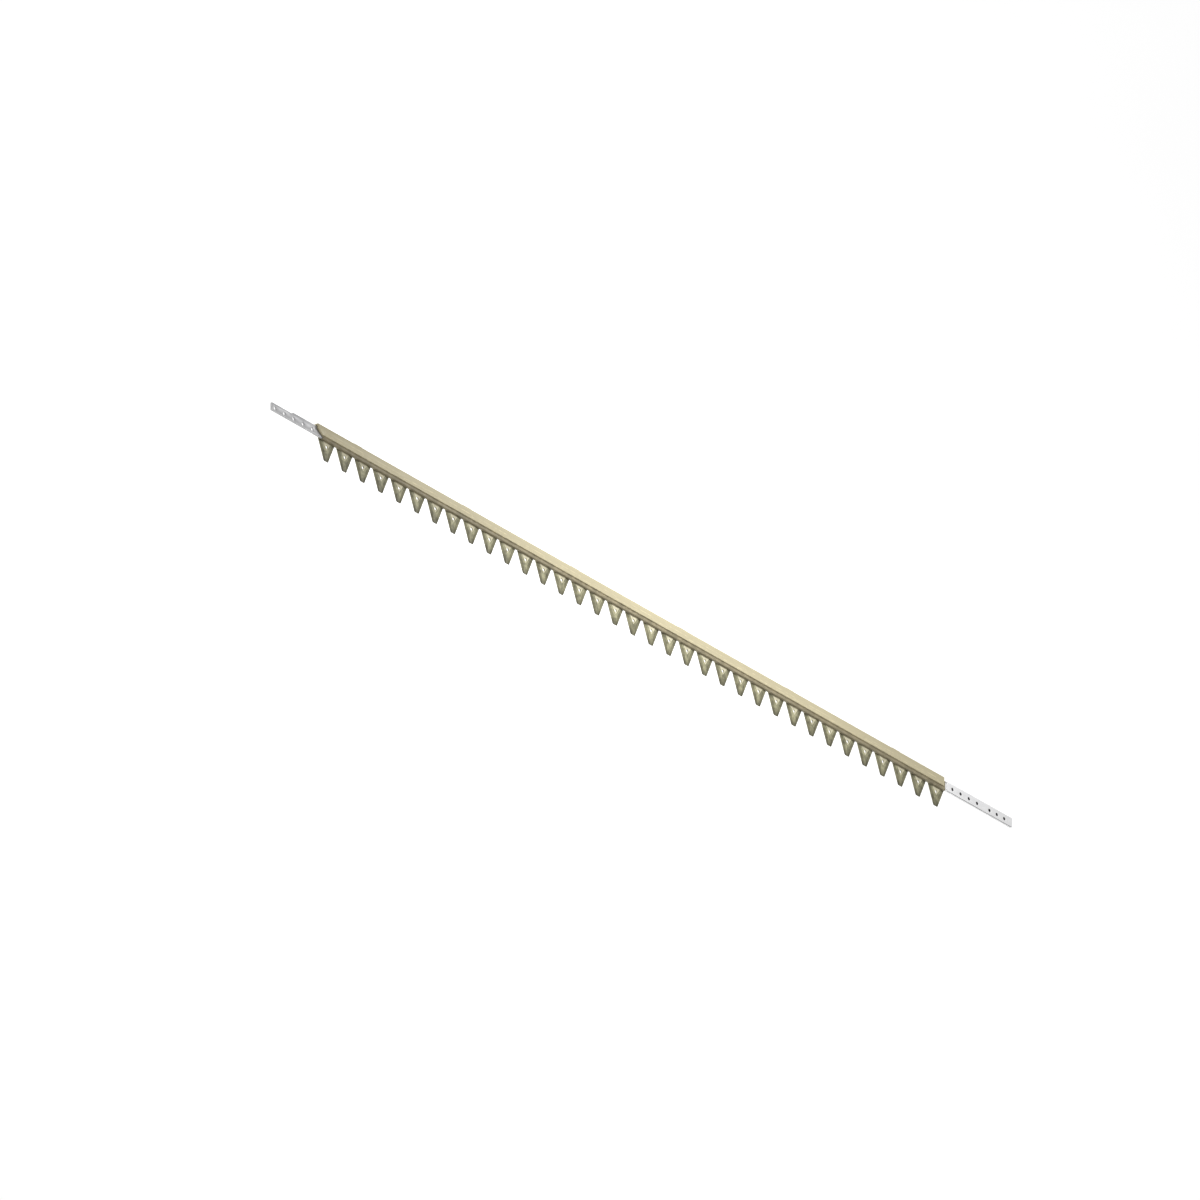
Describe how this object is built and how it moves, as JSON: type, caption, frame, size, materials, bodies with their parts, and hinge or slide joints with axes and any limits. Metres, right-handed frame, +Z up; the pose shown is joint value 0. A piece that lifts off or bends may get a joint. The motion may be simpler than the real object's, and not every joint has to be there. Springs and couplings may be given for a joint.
{
  "type": "sickle knife",
  "caption": "Long reciprocating sickle knife: triangular sections riveted under a perforated flat bar that slides in a painted steel guide with a hold-down strip.",
  "frame": {"origin": "under the middle of the knife back, halfway across the whole depth, on the plane the guide rests on", "axes": "+X along the knife towards its drive end, the sections point along -Y, +Z up"},
  "size_m": [3.144, 0.098, 0.0201],
  "materials": {
    "khaki_paint": "satin",
    "brown_paint": "satin",
    "khaki_rivet": "satin",
    "white_plastic": "matte",
    "zinc_steel": "satin zinc",
    "white_zinc": "bright zinc",
    "rivet_steel": "satin",
    "section_steel": "lacquered, ground bevels"
  },
  "bodies": {
    "guide": {"guide_channel": "khaki_paint", "hold_down_strip": "brown_paint", "cover_rivets": "khaki_rivet", "bottom_liner": "white_plastic", "rear_liner": "white_plastic", "mount_lug_1": "khaki_paint", "mount_lug_2": "khaki_paint", "mount_lug_3": "khaki_paint", "mount_lug_4": "khaki_paint", "mount_lug_5": "khaki_paint", "mount_lug_6": "khaki_paint"},
    "knife": {"knife_back": "zinc_steel", "drive_strap": "white_zinc", "section_rivets": "rivet_steel", "strap_rivets": "rivet_steel", "section_01": "section_steel", "section_02": "section_steel", "section_03": "section_steel", "section_04": "section_steel", "section_05": "section_steel", "section_06": "section_steel", "section_07": "section_steel", "section_08": "section_steel", "section_09": "section_steel", "section_10": "section_steel", "section_11": "section_steel", "section_12": "section_steel", "section_13": "section_steel", "section_14": "section_steel", "section_15": "section_steel", "section_16": "section_steel", "section_17": "section_steel", "section_18": "section_steel", "section_19": "section_steel", "section_20": "section_steel", "section_21": "section_steel", "section_22": "section_steel", "section_23": "section_steel", "section_24": "section_steel", "section_25": "section_steel", "section_26": "section_steel", "section_27": "section_steel", "section_28": "section_steel", "section_29": "section_steel", "section_30": "section_steel", "section_31": "section_steel", "section_32": "section_steel", "section_33": "section_steel", "section_34": "section_steel", "section_35": "section_steel"}
  },
  "joints": [
    {"name": "knife_stroke", "type": "slide", "parent": "guide", "child": "knife", "axis": [1, 0, 0], "range_m": [-0.008, 0.0682]}
  ]
}
